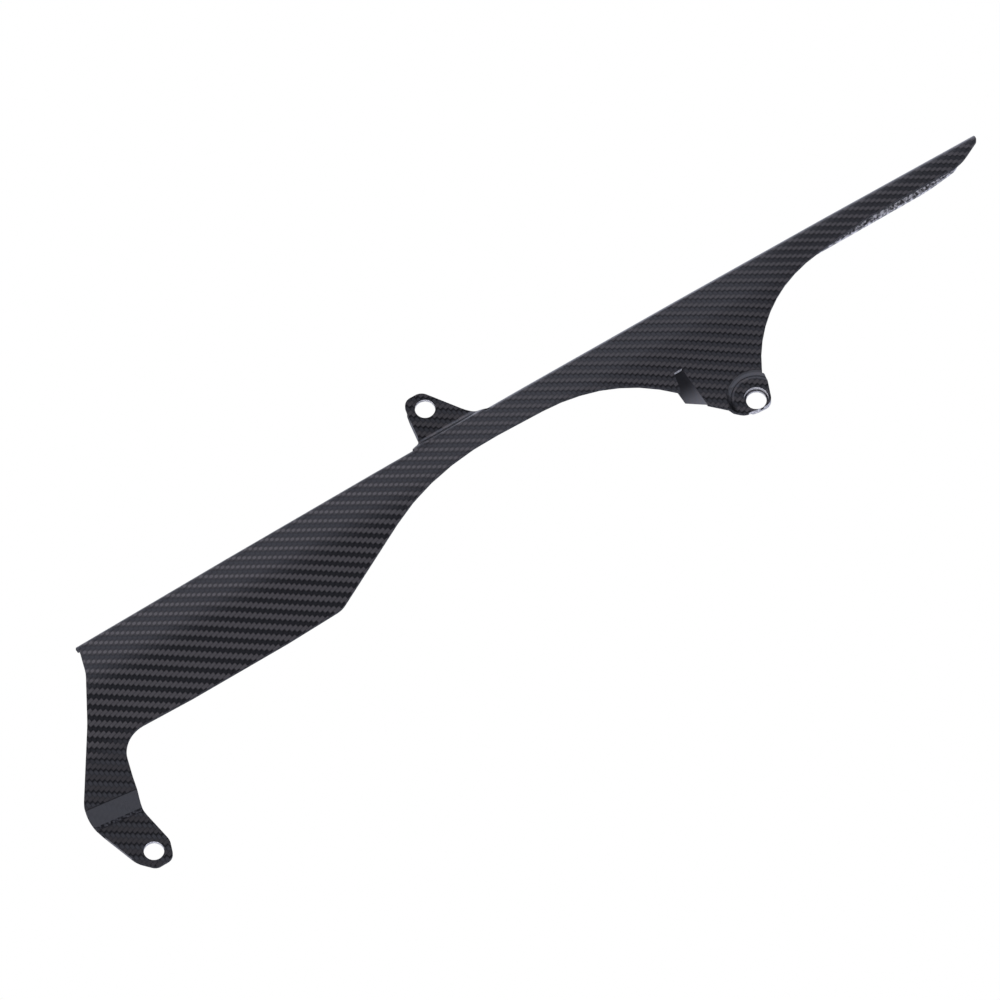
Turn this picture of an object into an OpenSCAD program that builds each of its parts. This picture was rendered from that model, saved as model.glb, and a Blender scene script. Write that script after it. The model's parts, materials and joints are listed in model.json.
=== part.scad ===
// Motorcycle chain guard, moulded in one piece from woven carbon laminate.
// It lies along X, with the nose at low X and the blade at high X. Z is up.
// The outer face looks towards -Y, and the chain runs under the hood at +Y.
// The origin is the middle of the front fixing hole, half way through the laminate.
// All outlines are written as if the origin were the top of the nose, and moved at the end.

/* [Hood] */
// Length of the top edge, from the nose to the tip of the blade
guard_length = 519.2; // [480:0.2:560]
// Thickness of the laminate
wall = 2; // [1.4:0.1:2.6]
// Width of the hood over the chain
hood_width = 20; // [16:0.5:30]
// Rise of the top edge's flat arch, above a straight line from the nose to the tip
arch_rise = 2.3; // [0.5:0.1:4]
// Number of straight runs that make up the arch
arch_runs = 6; // [4:1:8]
// Outside radius of the bend between the outer wall and the hood
bend_r = 3.2; // [2.8:0.1:5]
// Outside radius of the bend between the hood and the inner lip
lip_bend_r = 3.4; // [2.8:0.1:5]
// Depth of the inner lip ahead of the rear panel
waist_lip = 3.6; // [3.5:0.1:5]
// Depth of the inner lip along the blade
lip_depth = 5.8; // [5:0.1:8]
// How far the hood's open front edge is cut back from the nose
nose_slant = 8; // [4:0.5:16]
// How far the hood's rear corner is cut back from the tip
tip_slant = 8; // [4:0.5:14]

/* [Front panel] */
// Depth of the panel from the top of the nose to its straight lower edge
panel_depth = 56.2; // [54:0.1:62]
// Distance from the nose to the panel's lower rear corner
panel_length = 118.4; // [100:0.2:140]
// Rise of the panel's lower edge towards its rear corner
panel_rise = 0.6; // [0:0.1:3]
// How far the panel's lower edge bows down between its corners
panel_bow = 1.6; // [0:0.1:3]
// Radius of the panel's lower rear corner
panel_corner_r = 13; // [6:0.5:15]
// Inward lean of the upper band of the outer wall, in degrees
lean = 14; // [8:0.5:18]
// Depth of the soft crease below the top edge
crease_depth = 24.5; // [20:0.5:30]
// Radius of the soft crease
crease_r = 60; // [20:1:80]

/* [Waist] */
// Distance from the nose to the front of the waist
waist_start = 198; // [190:0.5:206]
// Depth of the outer wall at the front of the waist
waist_depth = 13.8; // [12.5:0.1:15]
// Radius of the sweep up to the waist
waist_r = 136; // [90:1:140]
// Distance from the nose to the rear of the waist
waist_end = 296; // [292:0.5:300]
// Drop of the lower edge along the waist
waist_drop = 3.2; // [1:0.1:5]
// Radius of the sweep down to the rear panel
rear_sweep_r = 84; // [60:1:86]

/* [Front arm] */
// Distance of the front fixing hole ahead of the nose
arm_reach = 26.8; // [22:0.1:32]
// Depth of the front fixing hole below the top of the nose
arm_drop = 114.1; // [110:0.1:120]
// Diameter of the front fixing hole
front_hole_d = 10; // [8:0.1:11]
// Radius of the arm's round end
arm_end_r = 8.9; // [8:0.1:10]
// Width of the arm above its sloped step
arm_width = 25.5; // [20:0.5:30]
// Depth of the top of the sloped step, at the middle of the arm
step_top = 84.0; // [80:0.1:87]
// How far the step carries the arm's end inwards
step_in = 7.4; // [4:0.1:9]
// Tilt of the step along the arm, in degrees
step_tilt = 7; // [0:0.5:12]
// Radius of the two bends of the step
step_bend_r = 3; // [2.8:0.1:4]
// Radius inside the hook, between the arm and the panel
hook_r = 17; // [10:0.5:18]

/* [Top tab] */
// Distance from the nose to the tab's fixing hole
tab_hole_x = 213.3; // [205:0.1:221]
// Height of the tab's fixing hole above the top of the nose
tab_hole_z = 18.9; // [17:0.1:22]
// Diameter of the tab's fixing hole
tab_hole_d = 10; // [8:0.1:11]
// Radius of the tab's round end
tab_end_r = 9.1; // [8.5:0.1:10]
// How far the tab stands inwards from the top bend
tab_set = 3; // [2:0.1:5]
// Height of the sloped ledge at the tab's root
tab_ledge = 2.2; // [1.5:0.1:3]
// Distance from the tab's hole to the front of its root
tab_front = 11.8; // [11:0.1:14]
// Distance from the tab's hole to the rear of its root
tab_rear = 19.3; // [17:0.1:24]
// Depth of the stiffening flange along the tab's front edge
tab_flange = 3; // [2:0.1:6]

/* [Rear mount] */
// Distance from the nose to the rear fixing hole
rear_hole_x = 350.4; // [345:0.1:354]
// Depth of the rear fixing hole below the top of the nose
rear_hole_z = 66.6; // [63:0.1:71]
// Diameter of the rear fixing hole
rear_hole_d = 10; // [8:0.1:10.4]
// Diameter of the recess for the bolt's washer
washer_d = 12; // [11:0.1:13]
// Depth of the recess for the bolt's washer
washer_depth = 2.2; // [1:0.1:2.6]
// Radius of the boss and of the ear's round end
boss_r = 7.4; // [7:0.1:8.2]
// Depth of the boss behind the pad
boss_depth = 1.6; // [1:0.1:6]
// Radius of the dished pad round the hole
dish_r = 13.3; // [12:0.1:15]
// Depth of the dished pad
dish_depth = 2.4; // [1.5:0.1:4]
// Width of the dish's sloped side
dish_slope = 1.8; // [1.5:0.1:4]

/* [Relief slot and gusset] */
// Distance from the nose to the gusset and the slot's rear edge
gusset_x = 328; // [325:0.1:332]
// Depth of the top of the slot below the top of the nose
slot_top = 34.4; // [32:0.1:37]
// Width of the slot at its top
slot_width = 4.6; // [3:0.1:6]
// Forward slope of the slot's front edge, in degrees
slot_slope = 14.5; // [5:0.5:20]
// Depth of the gusset's lower end
gusset_end = 57.8; // [56:0.1:60]
// How far the gusset reaches inwards
gusset_reach = 22; // [14:0.5:24]
// How far the gusset rises behind the wall above the slot
gusset_rise = 9; // [4:0.5:10]
// Forward slant of the gusset across the hood, in degrees
gusset_slant = 8; // [0:0.5:12]
// Height of the gusset's inner edge
gusset_edge = 7.5; // [4:0.1:12]

/* [Blade] */
// Distance from the nose to the rear panel's upper rear corner
rear_panel_x = 379.3; // [374:0.1:388]
// Depth of the outer wall at that corner
rear_panel_z = 19.9; // [17:0.1:23]
// Radius of the sweep from the rear panel to the blade
blade_sweep_r = 76; // [60:1:77]
// Distance from the nose to where the blade's edge turns straight
blade_start = 450; // [440:1:462]
// Depth of the outer wall along the blade
blade_depth = 11.9; // [10:0.1:14]
// Length over which the tip tapers
tip_taper = 15; // [10:0.5:20]
// Radius of the tip
tip_r = 3.5; // [2:0.1:5]

/* [Hidden] */
arc_step = 7;
far = 200;
top_y = crease_depth * tan(lean);
inner_y = top_y + hood_width;
wall_drop = rear_hole_z + 2 * boss_r;
arm_split = panel_depth + 6;
arch_end = 60;

// Points of the arc that rounds corner b between a and c
function turn_of(a, b, c) =
    let (p = b - a, q = c - b)
    atan2(p[0] * q[1] - p[1] * q[0], p[0] * q[0] + p[1] * q[1]);
function unit(v) = v / norm(v);
function corner_arc(a, b, c, r) =
    let (turn = turn_of(a, b, c),
         reach = r * tan(abs(turn) / 2),
         start = b - unit(b - a) * reach,
         side = sign(turn),
         normal = [-unit(b - a)[1], unit(b - a)[0]] * side,
         centre = start + normal * r,
         steps = max(1, ceil(abs(turn) / arc_step)))
    r < 0.05 ? [b] :
    [for (i = [0:steps])
        let (t = side * abs(turn) * i / steps, v = start - centre)
        centre + [v[0] * cos(t) - v[1] * sin(t), v[0] * sin(t) + v[1] * cos(t)]];
function flat(p) = [p[0], p[1]];

// Closed outline from corners written as [x, z, radius]
function rounded_loop(c) =
    let (n = len(c))
    [for (i = [0:n - 1])
        each corner_arc(flat(c[(i + n - 1) % n]), flat(c[i]), flat(c[(i + 1) % n]), c[i][2])];

// One face of a wall whose other face follows the corners, moved over by d to the right
function right_of(v) = [unit(v)[1], -unit(v)[0]];
function moved_corner(c, i, d) =
    let (n = len(c),
         before = i == 0 ? undef : right_of(flat(c[i]) - flat(c[i - 1])),
         after = i == n - 1 ? undef : right_of(flat(c[i + 1]) - flat(c[i])),
         m = i == 0 ? after : i == n - 1 ? before : (before + after) / (1 + before * after))
    flat(c[i]) + m * d;
function wall_face(c, d) =
    let (n = len(c), p = [for (i = [0:n - 1]) moved_corner(c, i, d)])
    [for (i = [0:n - 1])
        each (i == 0 || i == n - 1) ? [p[i]] :
            corner_arc(p[i - 1], p[i], p[i + 1],
                c[i][2] + d * sign(turn_of(flat(c[i - 1]), flat(c[i]), flat(c[i + 1]))))];
function reversed(p) = [for (i = [len(p) - 1:-1:0]) p[i]];
// Closed section of a wall, from the corners of its outer face as [y, z, radius]
function wall_section(c, t) = concat(wall_face(c, 0), reversed(wall_face(c, t)));

// Extrudes an outline drawn in X and Z along Y, from y0 to y1
module through(outline, y0, y1) {
    translate([0, y1, 0]) rotate([90, 0, 0]) linear_extrude(y1 - y0) polygon(outline);
}
// Extrudes a section drawn in Y and Z along X, from x0 to x1
module along(section, x0, x1) {
    translate([x0, 0, 0]) rotate([90, 0, 90]) linear_extrude(x1 - x0) polygon(section);
}
// Height of the top edge at x, on a flat arch from the nose to the tip
function arch(x) = arch_rise * (1 - pow(2 * x / guard_length - 1, 2));

// Sweeps a closed section drawn in Y and Z along the arch, from beyond the nose to beyond the tip
module along_top(section) {
    n = len(section);
    stations = [-arch_end, for (i = [0:arch_runs]) guard_length * i / arch_runs, guard_length + arch_end];
    rings = len(stations);
    points = [for (x = stations, p = section) [x, p[0], p[1] + arch(x)]];
    sides = [for (r = [0:rings - 2], k = [0:n - 1])
        let (m = (k + 1) % n) [r * n + k, r * n + m, (r + 1) * n + m, (r + 1) * n + k]];
    first_end = [for (k = [n - 1:-1:0]) k];
    last_end = [for (k = [0:n - 1]) (rings - 1) * n + k];
    polyhedron(points, concat([first_end], sides, [last_end]));
}

// Side view of the outer wall, from the nose down the arm and back along the lower edge
arm_hole = [-arm_reach, -arm_drop];
rear_hole = [rear_hole_x, -rear_hole_z];
outer_outline = rounded_loop([
    [0.6, far, 0],
    [0.2, -4, 3],
    [-4.2, -16.4, 25],
    [arm_hole[0] + 7.4, -step_top + 42, 60],
    [arm_hole[0] - arm_end_r - 10.4, -step_top + 3, 12],
    [arm_hole[0] - arm_end_r - 7.2, arm_hole[1] + 19.4, 20],
    [arm_hole[0] - arm_end_r - 1.4, arm_hole[1] - 0.8, 14],
    [arm_hole[0] - 3.6, arm_hole[1] - arm_end_r + 0.5, 5],
    [arm_hole[0] + arm_end_r * 0.7, arm_hole[1] - arm_end_r + 0.6, 5],
    [arm_hole[0] + arm_end_r + 0.8, arm_hole[1] + 0.8, 8],
    [arm_hole[0] + arm_width - 18.4, arm_hole[1] + 22, 20],
    [arm_hole[0] + arm_width - 14.6, arm_hole[1] + 36, 20],
    [-9, -panel_depth, hook_r],
    [panel_length / 2, -panel_depth - panel_bow, 900],
    [panel_length, -panel_depth + panel_rise, panel_corner_r],
    [waist_start, -waist_depth, waist_r],
    [waist_end, -waist_depth - waist_drop, rear_sweep_r],
    [gusset_x - 7.4, -slot_top - 10.6, 1],
    [gusset_x, -gusset_end, 1],
    [rear_hole[0] - boss_r - 2.2, rear_hole[1] - boss_r * 0.6, 7],
    [rear_hole[0] - boss_r * 0.3, rear_hole[1] - boss_r + 1.6, 5],
    [rear_hole[0] + boss_r * 0.7, rear_hole[1] - boss_r + 1.1, 5],
    [rear_hole[0] + dish_r - 3.4, rear_hole[1] + boss_r * 0.7, 4],
    [rear_hole[0] + dish_r - 3, rear_hole[1] + boss_r + 1.6, 1.5],
    [rear_panel_x - 19.4, -rear_panel_z - 37.2, 0],
    [rear_panel_x, -rear_panel_z, blade_sweep_r],
    [blade_start, -blade_depth, 60],
    [guard_length - tip_taper, -blade_depth, 24],
    [guard_length, -blade_depth + 8, tip_r],
    [guard_length, far, 0]
]);

// Side view of the hood and its inner lip
lip_outline = rounded_loop([
    [nose_slant, far, 0],
    [nose_slant, -waist_lip, 1],
    [waist_end - 20, -waist_lip, 60],
    [waist_end + 30, -lip_depth, 60],
    [guard_length - tip_slant - 22, -lip_depth, 60],
    [guard_length - tip_slant - 5, -lip_depth + 2, 8],
    [guard_length - tip_slant + 1, 0, 3],
    [guard_length - tip_slant + 1, far, 0]
]);

hood_section = wall_section([
    [0, -wall_drop, 0],
    [0, -crease_depth, crease_r],
    [top_y, 0, bend_r],
    [inner_y, 0, lip_bend_r],
    [inner_y, -lip_depth - 2, 0]
], wall);

// Section of the arm's step, from the fixing end up to the panel
step_section = wall_section([
    [step_in, -far, 0],
    [step_in, -step_in, step_bend_r],
    [0, 0, step_bend_r],
    [0, far / 4, 0]
], wall);

// Section of the tab, from the leaning wall over its ledge and up
tab_section = wall_section([
    [top_y - 3 * tan(lean), -3, 0],
    [top_y, 0, 2.4],
    [top_y + tab_set, tab_ledge, 2.2],
    [top_y + tab_set, far / 4, 0]
], wall);

// Side view of the tab above the hood
tab_hole = [tab_hole_x, tab_hole_z];
tab_root = arch(tab_hole_x);
tab_outline = rounded_loop([
    [tab_hole[0] - tab_front - 6, tab_root - 5, 0],
    [tab_hole[0] - tab_front - 6, tab_root, 0],
    [tab_hole[0] - tab_front, tab_root + 2.8, 5],
    [tab_hole[0] - tab_end_r - 0.4, tab_hole[1] - 1.2, 20],
    [tab_hole[0] - tab_end_r * 0.77, tab_hole[1] + tab_end_r, 5],
    [tab_hole[0] + tab_end_r * 0.35, tab_hole[1] + tab_end_r - 0.2, 6],
    [tab_hole[0] + tab_rear, tab_root + 0.8, 22],
    [tab_hole[0] + tab_rear + 4, tab_root - 0.5, 0],
    [tab_hole[0] + tab_rear + 4, tab_root - 5, 0]
]);

module hood_and_walls() {
    split = top_y + bend_r + 1;
    intersection() {
        along_top(hood_section);
        union() {
            difference() {
                through(outer_outline, -5, split);
                translate([-far, -far / 2, -far - arm_split]) cube([far, far, far]);
            }
            through(lip_outline, split, inner_y + 5);
        }
    }
}

module front_arm() {
    intersection() {
        translate([-arm_reach, 0, -step_top]) rotate([0, step_tilt, 0])
            along(step_section, -far / 2, far / 2);
        through(outer_outline, -5, step_in + wall + 5);
        translate([-far, -far / 2, -far - arm_split]) cube([far, far, far]);
    }
}

module top_tab() {
    intersection() {
        translate([0, 0, tab_root]) along(tab_section, tab_hole_x - far / 2, tab_hole_x + far / 2);
        through(tab_outline, 0, inner_y);
    }
    intersection() {
        through(tab_outline, top_y + tab_set, top_y + tab_set + wall + tab_flange);
        difference() {
            translate([tab_hole[0] - far / 2, 0, tab_root - wall / 2]) cube([far / 2, far, far]);
            translate([wall, 0, 0]) through(tab_outline, 0, far);
            translate([0, 0, tab_hole[1] + tab_end_r - wall]) translate([0, 0, -4]) cube(far * 2);
        }
    }
}

// Dished pad with its boss, round the rear fixing hole
module rear_pad() {
    rim = dish_r + dish_slope / 2;
    floor_r = dish_r - dish_slope / 2;
    intersection() {
        translate([rear_hole_x, 0, -rear_hole_z]) rotate([-90, 0, 0]) rotate_extrude($fn = 96)
            polygon([
                [0, dish_depth], [floor_r, dish_depth], [rim, 0], [rim + 0.5, 0],
                [rim + 0.5, wall], [rim + 0.5 * wall, wall], [floor_r + 0.5 * wall, dish_depth + wall],
                [boss_r, dish_depth + wall], [boss_r, dish_depth + wall + boss_depth],
                [0, dish_depth + wall + boss_depth]
            ]);
        through(outer_outline, -5, far / 4);
    }
}

module rear_mount_cut() {
    translate([rear_hole_x, 0, -rear_hole_z]) rotate([-90, 0, 0])
        translate([0, 0, -5]) cylinder(h = 5 + wall + 1, r = dish_r + dish_slope / 2, $fn = 96);
}

// Gusset that stiffens the rear mount, seen through the relief slot
module gusset() {
    translate([gusset_x, 0, 0]) rotate([0, 0, gusset_slant]) rotate([90, 0, 90]) linear_extrude(wall)
        polygon([
            [wall / 4, gusset_rise - slot_top], [gusset_reach, gusset_rise - slot_top],
            [gusset_reach, -slot_top - gusset_edge], [wall / 4, -gusset_end]
        ]);
}

module relief_slot() {
    foot = far / 2;
    through([
        [gusset_x - slot_width, -slot_top], [gusset_x, -slot_top], [gusset_x, -foot],
        [gusset_x - slot_width - (foot - slot_top) * tan(slot_slope), -foot]
    ], -5, wall + 3);
}

module bore(x, z, d) {
    translate([x, -far / 2, z]) rotate([-90, 0, 0]) cylinder(h = far, d = d, $fn = 64);
}

module chain_guard() {
    color([0.13, 0.13, 0.15])
    translate([arm_reach, -step_in - wall / 2, arm_drop])
    difference() {
        union() {
            difference() {
                hood_and_walls();
                rear_mount_cut();
                relief_slot();
            }
            front_arm();
            top_tab();
            rear_pad();
            gusset();
        }
        bore(-arm_reach, -arm_drop, front_hole_d);
        bore(tab_hole_x, tab_hole_z, tab_hole_d);
        bore(rear_hole_x, -rear_hole_z, rear_hole_d);
        translate([rear_hole_x, dish_depth - 5, -rear_hole_z]) rotate([-90, 0, 0])
            cylinder(h = 5 + washer_depth, d = washer_d, $fn = 64);
    }
}

chain_guard();
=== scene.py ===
# %% [markdown]
# # A motorcycle chain guard in woven carbon
# The real guard is one thin shell, moulded from a few layers of woven carbon in clear resin.
# It hangs over the upper run of the chain, held by three bolts on the swingarm.
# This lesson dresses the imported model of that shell. It rounds the trimmed edges, lays a cloth
# pattern over the surface as the real cloth was laid in the mould, and lights it as in a studio.

import json
import math

import bmesh
import bpy
from mathutils import Matrix, Vector


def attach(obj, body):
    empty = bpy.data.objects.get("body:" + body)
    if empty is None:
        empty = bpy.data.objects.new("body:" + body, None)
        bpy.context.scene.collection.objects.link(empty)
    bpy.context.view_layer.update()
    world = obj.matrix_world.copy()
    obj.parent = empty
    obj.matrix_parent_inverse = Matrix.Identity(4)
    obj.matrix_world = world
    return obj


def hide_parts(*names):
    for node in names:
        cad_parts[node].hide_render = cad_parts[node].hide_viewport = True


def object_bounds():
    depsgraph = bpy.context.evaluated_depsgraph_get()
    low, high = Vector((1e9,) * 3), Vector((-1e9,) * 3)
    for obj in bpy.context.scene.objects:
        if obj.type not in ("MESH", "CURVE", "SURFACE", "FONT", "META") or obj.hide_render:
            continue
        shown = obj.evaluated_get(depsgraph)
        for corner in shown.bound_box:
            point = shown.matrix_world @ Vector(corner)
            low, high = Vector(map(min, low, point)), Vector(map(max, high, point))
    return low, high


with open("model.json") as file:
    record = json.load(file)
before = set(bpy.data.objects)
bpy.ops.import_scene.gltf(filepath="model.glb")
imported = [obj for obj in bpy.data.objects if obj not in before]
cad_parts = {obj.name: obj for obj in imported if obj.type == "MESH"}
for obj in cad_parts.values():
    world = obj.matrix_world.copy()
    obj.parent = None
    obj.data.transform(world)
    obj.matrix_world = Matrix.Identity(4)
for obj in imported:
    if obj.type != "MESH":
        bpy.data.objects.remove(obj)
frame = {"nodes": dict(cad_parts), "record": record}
cad_low, cad_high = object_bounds()
print("packed guard, in mm:", [round(1000 * v) for v in cad_high - cad_low])

# %% [markdown]
# ## The guard's own measures
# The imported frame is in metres, and its origin is the front fixing hole.
# Everything below is easier to think about from the top of the nose, where the hood starts,
# so the nose is worked out first. The outer wall faces -Y, and X runs from the nose to the tip.

# %% Measures of the shell
MM = 0.001
TOP_LENGTH = 519.2 * MM
NOSE_HEIGHT = 114.1 * MM
ARCH_RISE = 2.3 * MM
WALL = 2 * MM
CREASE_DEPTH = 24.5 * MM
LEAN = math.radians(14)
HOOD_WIDTH = 20 * MM

nose = Vector((cad_high.x - TOP_LENGTH, cad_low.y, NOSE_HEIGHT))
lean_inset = CREASE_DEPTH * math.tan(LEAN)
bores = {mount["name"]: Vector(mount["pos_m"]) for mount in frame["record"]["mounts"]}
rear_bore = bores["rear_bore"]


def arch(x):
    """Height of the hood's flat arch above the line from the nose to the tip."""
    return ARCH_RISE * (1 - (2 * (x - nose.x) / TOP_LENGTH - 1) ** 2)


print("nose, in mm:", [round(1000 * v, 1) for v in nose])
print("rear hole, in mm:", [round(1000 * v, 1) for v in rear_bore])

# %% [markdown]
# ## One skin
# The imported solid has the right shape, but its mesh is loose triangles.
# So a copy is merged into one skin, and its flat faces are joined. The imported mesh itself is
# left alone, because it stays the part's true shape.

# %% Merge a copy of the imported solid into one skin
SAME_PLACE = 0.002 * MM
NEARLY_FLAT = math.radians(0.2)


def merged_copy(node):
    """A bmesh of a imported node, with its triangles joined and its flat faces made whole."""
    skin = bmesh.new()
    skin.from_mesh(frame["nodes"][node].data)
    bmesh.ops.remove_doubles(skin, verts=skin.verts, dist=SAME_PLACE)
    bmesh.ops.dissolve_degenerate(skin, edges=skin.edges, dist=SAME_PLACE)
    bmesh.ops.dissolve_limit(
        skin, angle_limit=NEARLY_FLAT, verts=skin.verts, edges=skin.edges,
        use_dissolve_boundaries=False, delimit=set())
    return skin


def open_edges(skin):
    """How many edges don't join two faces."""
    return sum(1 for edge in skin.edges if not edge.is_manifold)


shell = merged_copy("chain_guard")
print("merged shell:", len(shell.faces), "faces,", open_edges(shell), "open edges")

# %% [markdown]
# ## Broken edges
# A trimmed laminate always has its edges broken with a file or sandpaper, and that thin line
# catches the light. A bevel modifier is the plain way to make it, but it works on a whole
# outline at once, while the operator can be given only the edges that a file would reach.

# %% Break the trimmed edges
EDGE_ROUND = 0.35 * MM
TRIM_ANGLE = math.radians(55)
SHORTEST_TRIM = 0.6 * MM

trimmed = [edge for edge in shell.edges
           if edge.is_manifold and edge.calc_face_angle() > TRIM_ANGLE
           and edge.calc_length() > SHORTEST_TRIM]
bmesh.ops.bevel(
    shell, geom=trimmed, offset=EDGE_ROUND, offset_type="OFFSET", segments=2, profile=0.5,
    affect="EDGES", clamp_overlap=True, material=-1)
bmesh.ops.remove_doubles(shell, verts=shell.verts, dist=SAME_PLACE)
print("trimmed edges rounded:", len(trimmed), "open edges:", open_edges(shell))

# %% [markdown]
# ## Strips and sharp corners
# A cloth pattern is worked out at the corners of faces, and drawn straight between them.
# On a long face it would leave the arch of the hood, so the skin is cut across in short strips.
# The shading is smooth over soft bends and has to stop at real corners. Those edges are marked
# one by one, because the ready-made call for that missed some of them on this skin.

# %% Cut the long faces into strips
STRIP = 12 * MM
ON_THE_CUT = 0.0005 * MM


def cut_in_strips(skin, low, high, step):
    """Slices the skin with upright planes that are evenly spaced along the guard."""
    count = int((high - low) / step)
    for i in range(1, count):
        geom = skin.verts[:] + skin.edges[:] + skin.faces[:]
        place = (low + i * step, 0, 0)
        bmesh.ops.bisect_plane(skin, geom=geom, dist=ON_THE_CUT, plane_co=place, plane_no=(1, 0, 0))
    return count - 1


cuts = cut_in_strips(shell, cad_low.x, cad_high.x, STRIP)
print("cross cuts:", cuts, "faces now:", len(shell.faces))

# %% Mark the sharp corners
SHARP = math.radians(32)

shell.normal_update()
for edge in shell.edges:
    edge.smooth = edge.is_manifold and edge.calc_face_angle() < SHARP
for face in shell.faces:
    face.smooth = True
print("sharp edges:", sum(1 for edge in shell.edges if not edge.smooth))

# %% [markdown]
# ## Where the cloth lies
# Cloth is laid flat over the mould and follows its bends, so the pattern has to be measured
# along the surface. The map called cloth holds that: its first number runs along the guard,
# and its second is the distance round the section, up the wall, over the hood and down the lip.
# An automatic unwrap would split the shell into islands, and the rows would break between them.

# %% Measure round the section
FAR_DOWN = 1.0
TIE = 1e-9

half_wall = WALL / 2
hood_inside = lean_inset + HOOD_WIDTH - half_wall
section = [
    Vector((half_wall, -FAR_DOWN)), Vector((half_wall, -CREASE_DEPTH)),
    Vector((lean_inset + half_wall, -half_wall)), Vector((hood_inside, -half_wall)),
    Vector((hood_inside, -FAR_DOWN))]


def round_the_section(place):
    """Distance of a point round the section from the crease, and the way out of the wall there."""
    point = Vector((place.y - nose.y, place.z - nose.z - arch(place.x)))
    best, walked = None, CREASE_DEPTH - FAR_DOWN
    for start, end in zip(section, section[1:]):
        length = (end - start).length
        way = (end - start) / length
        t = min(max((point - start).dot(way), 0), length)
        gap = (point - (start + way * t)).length
        if best is None or gap < best[0] - TIE:
            best = (gap, walked + t, Vector((-way.y, way.x)))
        walked += length
    return best[1], best[2]


print("from the crease to the nose, in mm:", round(1000 * round_the_section(nose)[0], 1))

# %% [markdown]
# ## Seven kinds of face
# The mould side of the laminate is glossy, and the bag side is dull. The trimmed edges show cut
# fibres, and the bores are pale from the drill dust and a painted highlight. Resin pools in tight steps
# and hides the cloth.
# Each face is sorted by where it lies and which way it points, because that tells how it was made; a few
# places get a finish for painted shade or a painted glint. Painting the faces by hand would have to be
# done again after every change of the model.
# A face's normal has a length of 1, so its parts tell how far the face turns to each axis.

# %% The kinds, and the walls of the bores
MOULD_SIDE, BAG_SIDE, TRIMMED_EDGE_AND_SHADE, POOLED_RESIN, DRILLED_WALL_AND_GLINT, GUSSET, LIP_INSIDE = range(7)
DRILLED_REACH = 6.3 * MM
DRILLED_TURN = 0.6


def to_bore(bore, place):
    """The way from a place to the axis of a bore, as seen from the side."""
    return Vector((bore.x - place.x, bore.z - place.z))


def is_drilled(face, bore):
    """A drilled wall lies close round the bore and faces its axis."""
    near = all(to_bore(bore, corner.co).length < DRILLED_REACH for corner in face.verts)
    inward = to_bore(bore, face.calc_center_median())
    faces_axis = inward.dot(Vector((face.normal.x, face.normal.z))) > 0
    return near and abs(face.normal.y) < DRILLED_TURN and faces_axis


print("bore walls lie within, in mm:", round(DRILLED_REACH / MM, 1))

# %% The rear dish and the relief slot
DISH_REACH = 15.5 * MM
DISH_TURN = 0.5
BOSS_UNDERSIDE = 0.25
BOSS_LEFT = 6 * MM
SLOT_TOP = Vector((352.5, -7.4, 79.7)) * MM
SLOT_REACH = 5 * MM
SLOT_DOWN = 0.9


def kind_in_dish(centre, normal):
    """Cloth on the dish's front, painted shade on the walls round it, and a painted glint under the
    boss.
    """
    if to_bore(rear_bore, centre).length >= DISH_REACH:
        return None
    if normal.y < -DISH_TURN:
        return MOULD_SIDE, "round"
    if abs(normal.y) < DISH_TURN:
        # The walls round the dish take the dark edge finish as painted shade, and the one under the boss
        # a painted glint.
        below = centre.z < rear_bore.z and centre.x > rear_bore.x - BOSS_LEFT
        pale = below and normal.z < -BOSS_UNDERSIDE
        return (DRILLED_WALL_AND_GLINT if pale else TRIMMED_EDGE_AND_SHADE), "across"
    return None


def kind_at_slot(centre, normal):
    """The top end of the relief slot gets a painted glint."""
    if normal.z < -SLOT_DOWN and (centre - SLOT_TOP).length < SLOT_REACH:
        return DRILLED_WALL_AND_GLINT, "across"
    return None


print("slot's top, in mm:", [round(v / MM, 1) for v in SLOT_TOP])

# %% Cross walls and the step of the arm
CROSS_TURN = 0.8
CROSS_LEVEL = 0.5
WIDE_AREA = 30 * MM * MM
STEP_TOP = 45 * MM
STEP_DOWN = 0.12
STEP_OUT = 0.2
STEP_CROSS = 0.3
LOWER_BEND = (-0.69, -0.25)
LOWER_BEND_Y = -3 * MM


def kind_of_cross_wall(face, above_hood):
    """Narrow cross walls are trims; the wide ones are the tab's flange and the gusset."""
    if abs(face.normal.x) <= CROSS_TURN or abs(face.normal.y) >= CROSS_LEVEL:
        return None
    if face.calc_area() <= WIDE_AREA:
        return TRIMMED_EDGE_AND_SHADE, "across"
    return (POOLED_RESIN if above_hood else GUSSET), "across"


def kind_on_step(centre, normal):
    """The arm's step is plain resin, with a line of painted shade in its lower bend."""
    turned = normal.z < -STEP_DOWN and normal.y < -STEP_OUT and abs(normal.x) < STEP_CROSS
    if centre.z >= STEP_TOP or not turned:
        return None
    # The lower bend gets the dark edge finish as painted shade.
    in_bend = LOWER_BEND[0] < normal.z < LOWER_BEND[1] and centre.y > LOWER_BEND_Y
    return (TRIMMED_EDGE_AND_SHADE if in_bend else POOLED_RESIN), "round"


print("the arm's step lies below, in mm:", round(STEP_TOP / MM))

# %% The tab, the wall, the hood and the lip
OUTWARD = 0.4


def by_side(facing):
    """The mould side faces out, the bag side faces in, and an edge does neither."""
    return MOULD_SIDE if facing > OUTWARD else BAG_SIDE if facing < -OUTWARD else TRIMMED_EDGE_AND_SHADE


def kind_on_section(centre, normal):
    """On the wall and the hood a face goes by its side; inside the lip the resin is speckled."""
    outward = round_the_section(centre)[1]
    facing = Vector((normal.y, normal.z)).dot(outward)
    on_lip = centre.y > nose.y + lean_inset + HOOD_WIDTH - 2 * WALL
    return (LIP_INSIDE if on_lip and facing < OUTWARD else by_side(facing)), "round"


print("a face counts as outer or inner from:", OUTWARD)

# %% Sort every face
ABOVE_HOOD = 0.4 * MM


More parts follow.
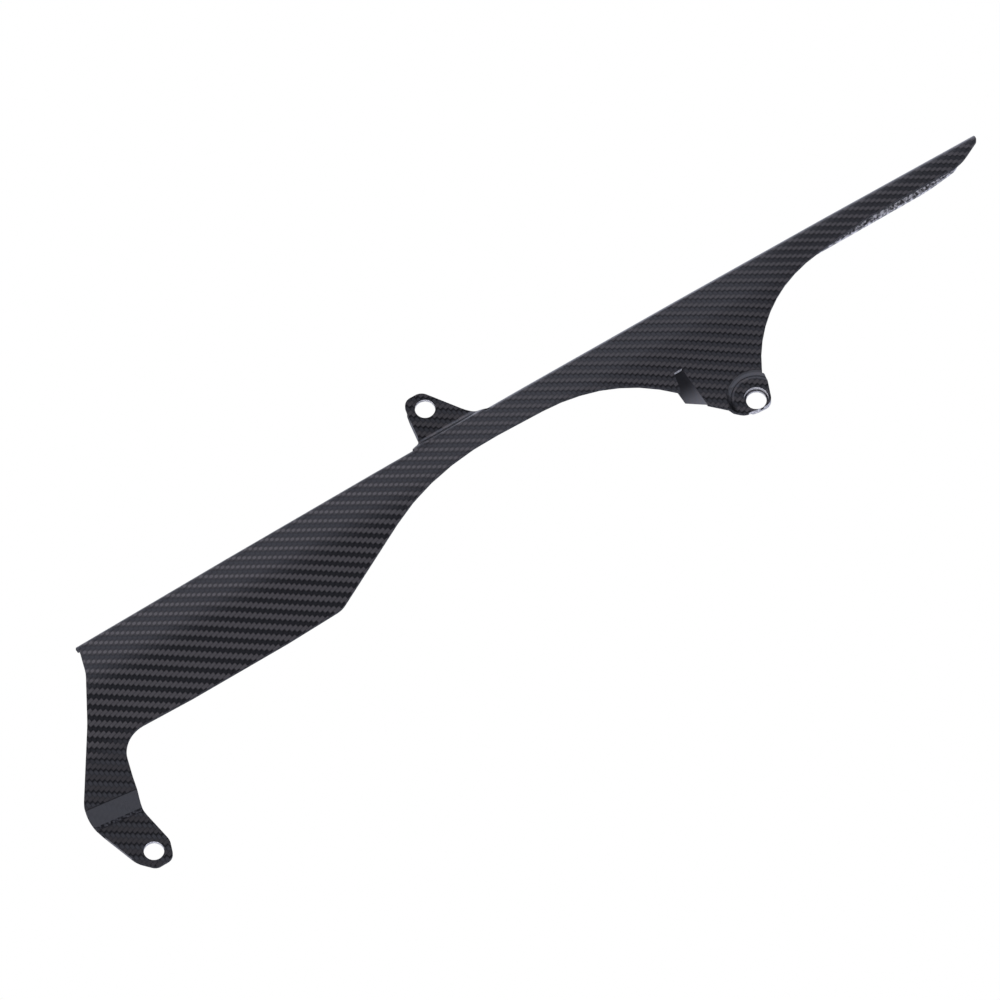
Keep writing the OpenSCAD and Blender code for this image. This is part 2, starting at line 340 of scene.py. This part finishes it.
def kind_of(face):
    """The kind of a face, and the rule for its place on the cloth."""
    centre, normal = face.calc_center_median(), face.normal
    if any(is_drilled(face, bore) for bore in bores.values()):
        return DRILLED_WALL_AND_GLINT, "across"
    above_hood = centre.z > nose.z + arch(centre.x) + ABOVE_HOOD
    found = kind_in_dish(centre, normal) or kind_at_slot(centre, normal)
    found = found or kind_of_cross_wall(face, above_hood) or kind_on_step(centre, normal)
    if found:
        return found
    return (by_side(-normal.y), "upright") if above_hood else kind_on_section(centre, normal)


kinds = [kind_of(face) for face in shell.faces]
counts = [sum(1 for kind, rule in kinds if kind == wanted) for wanted in range(LIP_INSIDE + 1)]
print("faces of each kind:", counts)

# %% Give every corner its place on the cloth
CLOTH_UNIT = 0.1

hood_start = CREASE_DEPTH / math.cos(LEAN) - CREASE_DEPTH


def cloth_spot(place, rule):
    """Where a point lies on the flat cloth, in metres, by the rule of its face."""
    if rule == "across":
        return place.y, place.z
    if rule == "upright":
        return place.x, place.z - nose.z - arch(place.x) + hood_start
    return place.x, round_the_section(place)[0] - CREASE_DEPTH


cloth = shell.loops.layers.uv.new("cloth")
for face, (kind, rule) in zip(shell.faces, kinds):
    face.material_index = kind
    for loop in face.loops:
        along, up = cloth_spot(loop.vert.co, rule)
        loop[cloth].uv = (along / CLOTH_UNIT, up / CLOTH_UNIT)
print("hood starts on the cloth at, in mm:", round(hood_start / MM, 2))

# %% Make the dressed guard from the finished skin
skin_mesh = bpy.data.meshes.new("guard_shell")
shell.to_mesh(skin_mesh)
shell.free()
guard = bpy.data.objects.new("guard_shell", skin_mesh)
bpy.context.scene.collection.objects.link(guard)
weighted = guard.modifiers.new("even_shading", "WEIGHTED_NORMAL")
weighted.keep_sharp = True
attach(guard, "root")
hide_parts("chain_guard")
print("guard shell:", len(skin_mesh.polygons), "faces")

# %% [markdown]
# ## Shader sums written as sums
# A weave is arithmetic: which thread lies on top depends on whole numbers counted both ways.
# In the node editor that is dozens of Math nodes. Here one small class wraps a socket, so that
# an ordinary expression such as 1 - mask * 0.5 adds those nodes by itself. Each sign that is
# used has its mirrored form too, for a plain number on the left.


# %% A socket that can be used in sums
class Value:
    """A number or a node's output in a shader, with the signs of arithmetic."""

    def __init__(self, tree, socket):
        self.tree = tree
        self.socket = socket

    def node(self, kind, settings=None, **inputs):
        """Adds a node, sets it up, and links or fills its sockets by name, or by number as s0."""
        made = self.tree.nodes.new(kind)
        for name, value in (settings or {}).items():
            setattr(made, name, value)
        for name, value in inputs.items():
            socket = made.inputs[int(name[1:]) if name[1:].isdigit() else name]
            if isinstance(value, Value):
                self.tree.links.new(value.socket, socket)
            else:
                socket.default_value = value
        return made

    def read(self, made, output=0):
        """One output of a node, ready for sums."""
        return Value(self.tree, made.outputs[output])

    def math(self, operation, *values):
        sockets = {f"s{i}": value for i, value in enumerate(values)}
        return self.read(self.node("ShaderNodeMath", {"operation": operation}, **sockets))

    def __add__(self, other):
        return self.math("ADD", self, other)

    __radd__ = __add__

    def __sub__(self, other):
        return self.math("SUBTRACT", self, other)

    def __rsub__(self, other):
        return self.math("SUBTRACT", other, self)

    def __mul__(self, other):
        return self.math("MULTIPLY", self, other)

    __rmul__ = __mul__

    def __truediv__(self, other):
        return self.math("DIVIDE", self, other)

    def __rtruediv__(self, other):
        return self.math("DIVIDE", other, self)

    def __lt__(self, other):
        return self.math("LESS_THAN", self, other)

    def __gt__(self, other):
        return self.math("GREATER_THAN", self, other)

    def floor(self):
        return self.math("FLOOR", self)

    def wrapped(self, size):
        return self.math("FLOORED_MODULO", self, size)

    def absolute(self):
        return self.math("ABSOLUTE", self)

    def larger(self, other):
        return self.math("MAXIMUM", self, other)

    def smooth(self, low, high):
        """A soft step from 0 below low to 1 above high."""
        settings = {"interpolation_type": "SMOOTHSTEP"}
        return self.read(self.node("ShaderNodeMapRange", settings, s0=self, s1=low, s2=high, s3=0, s4=1))

    def blend(self, low, high):
        """A colour between two colours, by this value."""
        made = self.node("ShaderNodeMix", {"data_type": "RGBA"}, s0=self, s6=low, s7=high)
        return self.read(made, 2)


print("sum-maker ready")


# %% Start and finish a material
def new_material(name):
    """An empty material and the sum-maker that adds its nodes."""
    made = bpy.data.materials.new(name)
    made.use_nodes = True
    made.node_tree.nodes.clear()
    return made, Value(made.node_tree, None)


def finish_material(sums, shader):
    """Puts the finished shader on the surface."""
    sums.node("ShaderNodeOutputMaterial", Surface=sums.read(shader))


def object_place(sums):
    """Where a point lies in the guard's own metres."""
    return sums.read(sums.node("ShaderNodeTexCoord"), "Object")


print("material starter ready")

# %% [markdown]
# ## The weave
# The cloth is a two-over-two twill: each tow passes over two and under two, and the next tow
# does the same one step on, which draws the slanting rows. The rows run downhill along the
# guard, and they lie a little closer towards the tip. Two counts are enough to draw it: how far
# along a row a point is, and how many rows up it is. Both are turned into tow numbers, and
# whole-number sums then say which tow is on top.

# %% Count rows and tows from the cloth map, in mm
ROW_TURN = math.radians(-37.2)
ROW_PITCH = 2.54
ROW_GAP_FRONT = 5.8
ROW_GAP_REAR = 4.9
ROW_SHIFT = 12


def tow_counts(sums):
    """Tow numbers both ways, and the distances along and up the cloth in mm."""
    cloth_map = sums.node("ShaderNodeUVMap", {"uv_map": "cloth"})
    parts = sums.node("ShaderNodeSeparateXYZ", s0=sums.read(cloth_map))
    along = sums.read(parts, 0) * (CLOTH_UNIT / MM)
    up = sums.read(parts, 1) * (CLOTH_UNIT / MM)
    row_along, row_up = math.cos(ROW_TURN), math.sin(ROW_TURN)
    in_row = (along * row_along + up * row_up) / ROW_PITCH
    dense_front, dense_rear = 1 / ROW_GAP_FRONT, 1 / ROW_GAP_REAR
    growth = (dense_rear - dense_front) / (TOP_LENGTH / MM)
    rows = (along * dense_front + along * along * (growth / 2)) * -row_up
    rows = rows + (up + ROW_SHIFT) * (along * growth + dense_front) * row_along
    return rows * 2 + in_row, rows * 2 - in_row, along, up


print("row pitch and gaps, in mm:", ROW_PITCH, ROW_GAP_FRONT, ROW_GAP_REAR)

# %% Find the place on a float
FLOAT_REPEAT = 4
LINE_SOFT = 0.8


def tow(own, other, first):
    """How far a point is across a tow, squared, and from the middle of a float that starts at first."""
    number = own.floor()
    across = (own - number - 0.5) * 2
    return across * across, (other + number).wrapped(FLOAT_REPEAT) - (first + 1)


def line_at(value, middle, reach):
    """A soft line where a value passes its middle."""
    return (1 - ((value - middle) / reach).absolute()).smooth(0, LINE_SOFT)


print("tows in one repeat of the weave:", FLOAT_REPEAT)

# %% [markdown]
# ## Zones
# The reflection on the cloth is painted into its colour, and it changes over the guard as the surface
# turns to the light.
# On the hood and the upper wall the tows get painted highlights, round beads of light, and on the arm,
# the tab and the rear they lie even and flat. The zones are soft masks, so that one look fades into the
# next as it does on the guard.

# %% Zones of the guard, in mm along and up the cloth
BEADS_START_UP = (-31, -17)
REAR_START_ALONG = (190, 320)
ARM_END_UP = (-66, -50)
ARM_END_ALONG = (22, 50)
TAB_START_UP = (1.5, 4)
BLADE_START_ALONG = (395, 440)
BEADS_LOST_AT_REAR = 0.8


def zones_at(along, up):
    """The soft masks of the zones; even is wherever the tows lie flat."""
    rear = along.smooth(*REAR_START_ALONG)
    arm = (1 - up.smooth(*ARM_END_UP)) * (1 - along.smooth(*ARM_END_ALONG))
    tab = up.smooth(*TAB_START_UP)
    beads = up.smooth(*BEADS_START_UP) * (1 - rear * BEADS_LOST_AT_REAR) * (1 - tab)
    return {"beads": beads, "rear": rear, "arm": arm, "tab": tab,
            "blade": along.smooth(*BLADE_START_ALONG), "even": rear.larger(arm.larger(tab))}


print("the blade starts, in mm along the cloth:", BLADE_START_ALONG)

# %% [markdown]
# ## Rising and falling tows
# One set of tows rises towards the tip and the other falls. The rising tows get a painted reflection, as
# if they catch the light, and the falling ones are painted dark. Each float is bright in its middle and
# fades at its sides and ends, where it dives under the next tow. The fades are pairs of limits for a
# soft step, counted in tows.

# %% Shape of the rising and the falling tows
RISE_FIRST, FALL_FIRST = 2, 0
RISE_REACH = 1.34
RISE_REACH_LOST = 0.26
RISE_HEAD, RISE_FOOT, RISE_SIDES = (0.0, 0.45), (0.0, 0.50), (-0.2, 0.50)
FALL_HEAD, FALL_FOOT, FALL_SIDES = (0.15, 0.85), (0.0, 0.55), (-0.2, 0.60)
EVEN_FILL = 0.7
BEAD_ACROSS, BEAD_ALONG, BEAD_FADE = 0.61, 2.44, (0.0, 0.65)


def rising_tows(i, j, even):
    """Where the rising tows are on top, how full they look, their painted bead highlights, and the way
    along them.
    """
    across, along = tow(j, i, RISE_FIRST)
    reach = RISE_REACH - even * RISE_REACH_LOST
    head = (reach - along).smooth(*RISE_HEAD)
    body = (along + reach).smooth(*RISE_FOOT) * (head + even * (1 - head) * EVEN_FILL)
    body = body * (1 - across).smooth(*RISE_SIDES)
    bead_highlight = (1 - across * BEAD_ACROSS - along * along * BEAD_ALONG).smooth(*BEAD_FADE)
    return along.absolute() < reach, body, bead_highlight, along


def falling_tows(i, j, even):
    """How full the falling tows look, and the way along them."""
    across, along = tow(i, j, FALL_FIRST)
    foot = (1 + along).smooth(*FALL_FOOT)
    body = (1 - along).smooth(*FALL_HEAD) * (foot + even * (1 - foot) * EVEN_FILL)
    return body * (1 - across).smooth(*FALL_SIDES), along


print("a rising float reaches, in tows:", RISE_REACH)

# %% Tones of the tows in each zone, painted as the reflection of the fibres
RISE_TONE, FALL_TONE = 0.41, 0.055
RISE_CHANGES = {"beads": -0.13, "rear": -0.02, "arm": -0.20, "tab": -0.09}
FALL_CHANGES = {"beads": 0.20, "rear": 0.17, "arm": 0.19, "tab": 0.10, "blade": -0.13}
BEAD_HIGHLIGHT_TONE = 0.34


def tone(plain, changes, zones):
    """A plain tone, made lighter or darker by the zones as painted reflection."""
    return sum((zones[name] * change for name, change in changes.items()), plain)


print("tones of rising and falling tows:", RISE_TONE, FALL_TONE)

# %% Fine fibres along each tow
FIBRES_ALONG, FIBRES_ACROSS = 0.7, 9
STREAK_DARKEST, STREAK_RANGE = 0.72, 0.56


def fibre_streaks(sums, i, j, rising, falling):
    """Streaks of single fibres, drawn out along whichever tow is on top."""
    spot = sums.node("ShaderNodeCombineXYZ", s0=i * (FIBRES_ALONG + rising * FIBRES_ACROSS),
                     s1=j * (FIBRES_ALONG + falling * FIBRES_ACROSS))
    noise = sums.node("ShaderNodeTexNoise", {"noise_dimensions": "2D"},
                      Vector=sums.read(spot), Scale=1.0, Detail=3.0)
    return STREAK_DARKEST + sums.read(noise) * STREAK_RANGE


print("fibres change the tone by:", STREAK_RANGE)

# %% Lay the two sets of tows over each other
BEAD_FILL = 0.5
FLOAT_CURVE = 0.4


def woven(sums, i, j, zones):
    """Brightness with its painted reflection and bead highlights, relief of the bare cloth, and the mask
    of the rising tows.
    """
    beads = zones["beads"]
    rising, rise_body, bead_highlight, rise_along = rising_tows(i, j, zones["even"])
    fall_body, fall_along = falling_tows(i, j, zones["even"])
    falling = 1 - rising
    rise_body = rise_body + (1 - rise_body) * beads * BEAD_FILL
    fall_body = fall_body + (1 - fall_body) * beads * BEAD_FILL
    # The bead highlights and the zones' tones are painted reflection of the light on the fibres.
    rise_tone = tone(RISE_TONE, RISE_CHANGES, zones) + bead_highlight * beads * BEAD_HIGHLIGHT_TONE
    fall_tone = tone(FALL_TONE, FALL_CHANGES, zones)
    level = rising * rise_body * rise_tone + falling * fall_body * fall_tone
    level = level * fibre_streaks(sums, i, j, rising, falling)
    height = rising * rise_body * (1 - rise_along * rise_along * FLOAT_CURVE)
    height = height + falling * fall_body * (1 - fall_along * fall_along * FLOAT_CURVE)
    return level, height, rising


print("zones that change the rising tows:", len(RISE_CHANGES))

# %% [markdown]
# ## Painted lines of shade and light
# Round the rear dish and along the ledge under the tab, a dark line of painted shade hides the cloth,
# with thin lines of painted highlight beside it. They are too fine to be worth a shape of their own,
# so they are drawn: round the rear hole by distance from its axis, and along the ledge on the cloth map.

# %% Painted lines of shade and highlight round the rear dish and along the ledge, in mm
DISH_SHADE = (12.9, 2.4)
DISH_LIGHT, DISH_SECOND_LIGHT, DISH_SECOND_SHARE = (11.5, 0.9), (13.0, 0.9), 0.6
DISH_LIGHT_START = (2, 7)
LEDGE_START, LEDGE_END = (226, 231), (288, 300)
LEDGE_SHADE, LEDGE_UPPER_LIGHT, LEDGE_LOWER_LIGHT = (2.2, 1.3), (3.6, 0.9), (0.7, 0.8)


def dish_lines(sums):
    """The painted shade line and the painted highlights round the rear dish; the highlights show only
    above the hole.
    """
    parts = sums.node("ShaderNodeSeparateXYZ", s0=object_place(sums))
    right = (sums.read(parts, 0) - rear_bore.x) / MM
    rise = (sums.read(parts, 2) - rear_bore.z) / MM
    reach = sums.math("POWER", right * right + rise * rise, 0.5)
    light = line_at(reach, *DISH_LIGHT) + line_at(reach, *DISH_SECOND_LIGHT) * DISH_SECOND_SHARE
    return line_at(reach, *DISH_SHADE), light * rise.smooth(*DISH_LIGHT_START)


def ledge_lines(along, up):
    """The painted shade line and the painted highlights along the ledge under the tab."""
    on_ledge = along.smooth(*LEDGE_START) * (1 - along.smooth(*LEDGE_END))
    light = line_at(up, *LEDGE_UPPER_LIGHT) + line_at(up, *LEDGE_LOWER_LIGHT)
    return line_at(up, *LEDGE_SHADE) * on_ledge, light * on_ledge


print("the dark line round the dish, radius in mm:", DISH_SHADE[0])

# %% Places where the coat is dull, and the painted highlight on the hood's edge, in mm
DULL_BEND_UP, DULL_BEND_END = (-5, -1), (225, 262)
BLADE_DULL, BLADE_DULL_END_UP = 0.8, (-6, -3)
HOOD_LIGHT, HOOD_LIGHT_START, HOOD_LIGHT_SHARE = (0, 3.5), (270, 420), 0.35
LINE_LIGHT = 0.5


def dull_places(along, up, blade, ledge_shade):
    """The mask of the dull coat: the hood as far as the tab, the ledge, and the blade's wall."""
    bend = up.smooth(*DULL_BEND_UP) * (1 - along.smooth(*DULL_BEND_END))
    dull = bend.larger(ledge_shade)
    return dull + blade * BLADE_DULL * (1 - up.smooth(*BLADE_DULL_END_UP)) * (1 - dull)


def twill_with_painted_light(sums):
    """Brightness, relief, rising tows and dull coat of the cloth with its painted lines of shade and
    highlight.
    """
    i, j, along, up = tow_counts(sums)
    zones = zones_at(along, up)
    level, height, rising = woven(sums, i, j, zones)
    dish_shade, dish_highlight = dish_lines(sums)
    ledge_shade, ledge_highlight = ledge_lines(along, up)
    # Painted shade darkens the cloth in the lines, and painted highlights are added beside them and on
    # the hood's edge.
    seen = 1 - dish_shade.larger(ledge_shade)
    hood_highlight = line_at(up, *HOOD_LIGHT) * along.smooth(*HOOD_LIGHT_START) * HOOD_LIGHT_SHARE
    light = dish_highlight + ledge_highlight + hood_highlight
    dull = dull_places(along, up, zones["blade"], ledge_shade)
    return level * seen + light * LINE_LIGHT, height * seen, rising, dull


print("the hood's edge gets light from, in mm along:", HOOD_LIGHT_START[0])

# %% [markdown]
# ## Cloth under resin
# The mould side is black cloth with a thick clear coat over it. A Principled shader with a coat
# is that same build: a half dull base with the weave's relief, and a smooth layer above it.
# The bag side was pressed by a rough release cloth, so there the weave is dull and barely
# coated. In tight steps and on the tab's front flange the resin is thick and hides the tows.

# %% A surface of cured resin
RELIEF = 0.12 * MM
WEAR_SCALE, WEAR_RANGE = 14.0, 0.12


def resin_surface(sums, colour, coat, height, roughness, bump_share, gloss):
    """A shader of cured resin, a little unevenly worn, with the relief of the cloth in it."""
    clouds = sums.node("ShaderNodeTexNoise", Vector=object_place(sums), Scale=WEAR_SCALE, Detail=2.0)
    bump = sums.node("ShaderNodeBump", Strength=bump_share, Distance=RELIEF, Height=height)
    return sums.node(
        "ShaderNodeBsdfPrincipled", **{
            "Base Color": colour, "Metallic": 0.1,
            "Roughness": roughness + sums.read(clouds) * WEAR_RANGE,
            "Specular IOR Level": gloss, "Coat Weight": coat, "Coat Roughness": 0.05,
            "Coat IOR": 1.5, "Normal": sums.read(bump)})


print("relief of the cloth, in mm:", round(RELIEF / MM, 2))

# %% Twill under clear resin
WARM_TOW = (0.170, 0.158, 0.168, 1)
COOL_TOW = (0.156, 0.158, 0.180, 1)
GAP_BLACK = (0.0022, 0.0022, 0.0032, 1)
PLAIN_RESIN = 0.02
DULL_SHARE = 0.8


def clear_twill(name, cloth_share, roughness, bump_share, gloss=0.2, clear=1.0):
    """Twill under clear resin; a small cloth share means that thick resin hides the tows."""
    made, sums = new_material(name)
    level, height, rising, dull = twill_with_painted_light(sums)
    shown = level * cloth_share + PLAIN_RESIN * (1 - cloth_share)
    colour = shown.blend(GAP_BLACK, rising.blend(COOL_TOW, WARM_TOW))
    coat = (1 - dull * DULL_SHARE) * clear
    finish_material(sums, resin_surface(sums, colour, coat, height, roughness, bump_share, gloss))
    return made


mould_side = clear_twill("clear_coated_twill", cloth_share=1.0, roughness=0.34, bump_share=0.5)
bag_side = clear_twill(
    "bag_side", cloth_share=0.7, roughness=0.5, bump_share=0.9, gloss=0.35, clear=0.06)
pooled_resin = clear_twill("pooled_resin", cloth_share=0.12, roughness=0.22, bump_share=0.08)
print("resin materials:", [made.name for made in (mould_side, bag_side, pooled_resin)])

# %% [markdown]
# ## The gusset
# The gusset behind the slot is plain resin, with painted light at its lower end and painted shade up at
# the slot.
# The fade runs level as it is seen from a little below, so the height that it follows is corrected by
# depth.

# %% Resin with painted shade that fades to dark
SEEN_SLOPE = 0.41
GUSSET_FADE = (0.058, 0.076)
FADE_DEPTH = 0.92
PAINTED_SHADE_TONE = 0.55


def resin_with_painted_shade(name):
    """Thick resin, coated and with painted light at the low end, bare and in painted shade at the high
    end.
    """
    made, sums = new_material(name)
    _, height, rising, _ = twill_with_painted_light(sums)
    parts = sums.node("ShaderNodeSeparateXYZ", s0=object_place(sums))
    seen_height = sums.read(parts, 2) - sums.read(parts, 1) * SEEN_SLOPE
    coat = 1 - seen_height.smooth(*GUSSET_FADE) * FADE_DEPTH
    # The colour follows the coat, so its dark top is painted shade and its light low end is painted
    # light.
    colour = (coat * PAINTED_SHADE_TONE).blend(GAP_BLACK, rising.blend(COOL_TOW, WARM_TOW))
    shader = resin_surface(sums, colour, coat, height, roughness=0.22, bump_share=0.08, gloss=0.0)
    finish_material(sums, shader)
    return made


gusset_painted_shade = resin_with_painted_shade("gusset_painted_shade")
print("material:", gusset_painted_shade.name)

# %% [markdown]
# ## Cut fibres and bare resin
# A trimmed edge shows cut fibre ends, nearly black, and the same dark finish is painted shade on the
# dish's walls and in the step's lower bend. A drilled wall is pale and dusty, and it is lifted to a
# painted highlight, which also makes the painted glints at the slot's top and under the boss. Inside the
# lip bright specks of bare resin lie over dark fibres, and their near white is partly painted light. All
# three are one speckled surface with other colours and another size of grain, so one function makes
# them.

# %% Cut edge with painted shade, drilled wall with painted glints, and the inside of the lip
SPECK_FADE = (0.40, 0.66)
GRAIN_DEPTH = 0.1 * MM


def raw_material(name, dark, light, grain_size, roughness, gloss):
    """A speckled surface of raw laminate with a fine uneven relief."""
    made, sums = new_material(name)
    grain = sums.node("ShaderNodeTexNoise", Vector=object_place(sums), Scale=1 / grain_size,
                      Detail=4.0, Roughness=0.65)
    speck = sums.read(grain)
    bump = sums.node("ShaderNodeBump", Strength=0.7, Distance=GRAIN_DEPTH, Height=speck)
    shader = sums.node(
        "ShaderNodeBsdfPrincipled", **{
            "Base Color": speck.smooth(*SPECK_FADE).blend(dark, light), "Roughness": roughness,
            "Specular IOR Level": gloss, "Normal": sums.read(bump)})
    finish_material(sums, shader)
    return made


# The dark edge finish also serves as painted shade on the dish's walls and in the step's lower bend.
cut_edge_and_shade = raw_material(
    "cut_edge_and_shade", dark=(0.005, 0.005, 0.006, 1), light=(0.06, 0.06, 0.07, 1),
    grain_size=1.4 * MM, roughness=0.5, gloss=0.1)
# The near white is partly pale drill dust and partly a painted highlight.
drilled_wall_and_glint = raw_material(
    "drilled_wall_and_glint", dark=(0.34, 0.34, 0.36, 1), light=(0.92, 0.91, 0.95, 1),
    grain_size=0.8 * MM, roughness=0.5, gloss=0.5)
# The near-white specks are partly the rough resin and partly painted light.
lip_inside = raw_material(
    "lip_inside", dark=(0.06, 0.06, 0.066, 1), light=(0.95, 0.94, 1.0, 1),
    grain_size=1.6 * MM, roughness=0.4, gloss=0.5)
print("raw materials:", [made.name for made in (cut_edge_and_shade, drilled_wall_and_glint, lip_inside)])

# %% Put the materials on the guard, in the order of the kinds
finishes = {
    MOULD_SIDE: mould_side, BAG_SIDE: bag_side, TRIMMED_EDGE_AND_SHADE: cut_edge_and_shade, POOLED_RESIN: pooled_resin,
    DRILLED_WALL_AND_GLINT: drilled_wall_and_glint, GUSSET: gusset_painted_shade, LIP_INSIDE: lip_inside}
for kind in sorted(finishes):
    skin_mesh.materials.append(finishes[kind])
print("materials:", [made.name for made in skin_mesh.materials])

# %% [markdown]
# ## The camera
# The guard was seen from in front of its nose, from the outer side and from a little below,
# with the camera rolled so that the top edge climbs across the picture. A long lens far away
# keeps the two ends at the same scale, as in a catalogue picture. The nose is the easiest point
# to find again in the picture, so the camera is moved until the nose falls on its pixel.

# %% Direction and roll of the camera
VIEW_TURN = math.radians(15)
VIEW_RISE = math.radians(23)
TOP_EDGE_CLIMB = math.radians(29.74)

ahead = Vector((math.sin(VIEW_TURN) * math.cos(VIEW_RISE),
                math.cos(VIEW_TURN) * math.cos(VIEW_RISE), math.sin(VIEW_RISE)))
level_right = Vector((math.cos(VIEW_TURN), -math.sin(VIEW_TURN), 0))
level_up = level_right.cross(ahead)
own_climb = math.atan2(level_up.x, level_right.x)
roll = TOP_EDGE_CLIMB - own_climb
right = level_right * math.cos(roll) - level_up * math.sin(roll)
upward = level_right * math.sin(roll) + level_up * math.cos(roll)
print("roll, in degrees:", round(math.degrees(roll), 2))

# %% Place the camera so that the nose lands on its pixel
PICTURE = 1000
PIXEL = 0.48706 * MM
NOSE_PIXEL = (77.9, 648.0)
NOSE_MARK = Vector((0, 6.233, -1.3)) * MM
CAMERA_GAP = 16.0

middle = (nose + NOSE_MARK + right * (PICTURE / 2 - NOSE_PIXEL[0]) * PIXEL
          + upward * (NOSE_PIXEL[1] - PICTURE / 2) * PIXEL)
guard_centre = (cad_low + cad_high) / 2
middle += ahead * (guard_centre - middle).dot(ahead)

lens_data = bpy.data.cameras.new("long_lens")
lens_data.lens = lens_data.sensor_width * CAMERA_GAP / (PICTURE * PIXEL)
camera = bpy.data.objects.new("long_lens", lens_data)
turn = Matrix((right, upward, -ahead)).transposed().to_4x4()
camera.matrix_world = Matrix.Translation(middle - ahead * CAMERA_GAP) @ turn
bpy.context.scene.collection.objects.link(camera)
bpy.context.scene.camera = camera
bpy.context.scene.view_settings.view_transform = "Standard"
print("lens, in mm:", round(lens_data.lens))

# %% [markdown]
# ## The floor
# The picture's background is plain white, and a glossy black part shows whatever stands
# round it. The floor is bright where the camera or a mirror sees it and ordinary white paper to
# every other ray, so that its brightness doesn't light the guard. It lies well below and is
# clear from underneath, because the camera looks up.

# %% Floor sheet
FLOOR_DROP = 6.8
FLOOR_HALF = 60

floor_skin = bmesh.new()
bmesh.ops.create_grid(floor_skin, x_segments=1, y_segments=1, size=FLOOR_HALF)
bmesh.ops.translate(floor_skin, verts=floor_skin.verts, vec=(0, 0, -FLOOR_DROP))
floor_mesh = bpy.data.meshes.new("studio_floor")
floor_skin.to_mesh(floor_mesh)
floor_skin.free()
floor = bpy.data.objects.new("studio_floor", floor_mesh)
bpy.context.scene.collection.objects.link(floor)
print("floor lies", FLOOR_DROP, "m below the front hole")

# %% Paper of the floor
WHITE = (1, 1, 1, 1)
ROOM_TINT = (0.86, 0.89, 1.06, 1)
PAPER = (0.9, 0.9, 0.9, 1)
SEEN_SHARE = 0.85


def floor_paper():
    """White paper that is brighter where it is seen or mirrored, and clear from below."""
    made, sums = new_material("floor_paper")
    ray = sums.node("ShaderNodeLightPath")
    looking = sums.read(ray, "Is Camera Ray")
    seen = looking * SEEN_SHARE + sums.read(ray, "Is Glossy Ray")
    paper = sums.node("ShaderNodeBsdfDiffuse", Color=PAPER)
    bright = sums.node("ShaderNodeEmission", Color=looking.blend(ROOM_TINT, WHITE), Strength=1.0)
    both = sums.node("ShaderNodeMixShader", s0=sums.math("MINIMUM", seen, 1),
                     s1=sums.read(paper), s2=sums.read(bright))
    under = sums.node("ShaderNodeNewGeometry")
    clear = sums.node("ShaderNodeBsdfTransparent")
    end = sums.node("ShaderNodeMixShader", s0=sums.read(under, "Backfacing"),
                    s1=sums.read(both), s2=sums.read(clear))
    finish_material(sums, end)
    return made


floor_mesh.materials.append(floor_paper())
print("floor material:", floor_mesh.materials[0].name)

# %% [markdown]
# ## The room
# The room matters more than the lamps, because it is what the gloss mirrors. It is brighter
# behind the guard and overhead, and dim behind the camera, which keeps the outer face black.

# %% Room light
ROOM_FRONT = 0.16
ROOM_BACK = 0.55
ROOM_ABOVE = 1.1
BACK_FADE = (-0.25, 0.6)
ABOVE_FADE = (0.68, 1.0)

room = bpy.data.worlds.new("studio_room")
bpy.context.scene.world = room
room.use_nodes = True
room.node_tree.nodes.clear()
sums = Value(room.node_tree, None)
way = sums.node("ShaderNodeTexCoord")
way_parts = sums.node("ShaderNodeSeparateXYZ", s0=sums.read(way, "Generated"))
behind = sums.read(way_parts, 1).smooth(*BACK_FADE)
overhead = sums.read(way_parts, 2).smooth(*ABOVE_FADE)
room_level = ROOM_FRONT + behind * (ROOM_BACK - ROOM_FRONT) + overhead * ROOM_ABOVE
looking = sums.read(sums.node("ShaderNodeLightPath"), "Is Camera Ray")
strength = looking + room_level * (1 - looking)
glow = sums.node("ShaderNodeBackground", Color=looking.blend(ROOM_TINT, WHITE), Strength=strength)
sums.node("ShaderNodeOutputWorld", Surface=sums.read(glow))
print("room levels, front, back and above:", ROOM_FRONT, ROOM_BACK, ROOM_ABOVE)

# %% [markdown]
# ## Two soft lamps
# A softbox beyond the nose draws the lights on the bends, and a weaker one low in front lifts
# the outer face. The second is hidden from mirrors, or it would show as a pale band when the
# guard is seen from above.


# %% Softboxes
def soft_lamp(name, place, size, watts):
    """A square softbox, placed from the middle of the guard and facing it."""
    data = bpy.data.lights.new(name, "AREA")
    data.shape = "SQUARE"
    data.size = size
    data.energy = watts
    made = bpy.data.objects.new(name, data)
    made.location = guard_centre + Vector(place)
    made.rotation_euler = (-Vector(place)).to_track_quat("-Z", "Y").to_euler()
    bpy.context.scene.collection.objects.link(made)
    return made


side_softbox = soft_lamp("side_softbox", place=(-2.2, -1.4, 0.4), size=1.6, watts=36)
front_fill = soft_lamp("front_fill", place=(-0.9, -2.2, -1.5), size=1.2, watts=24)
front_fill.visible_glossy = False
print("lamps:", [lamp.name for lamp in (side_softbox, front_fill)])
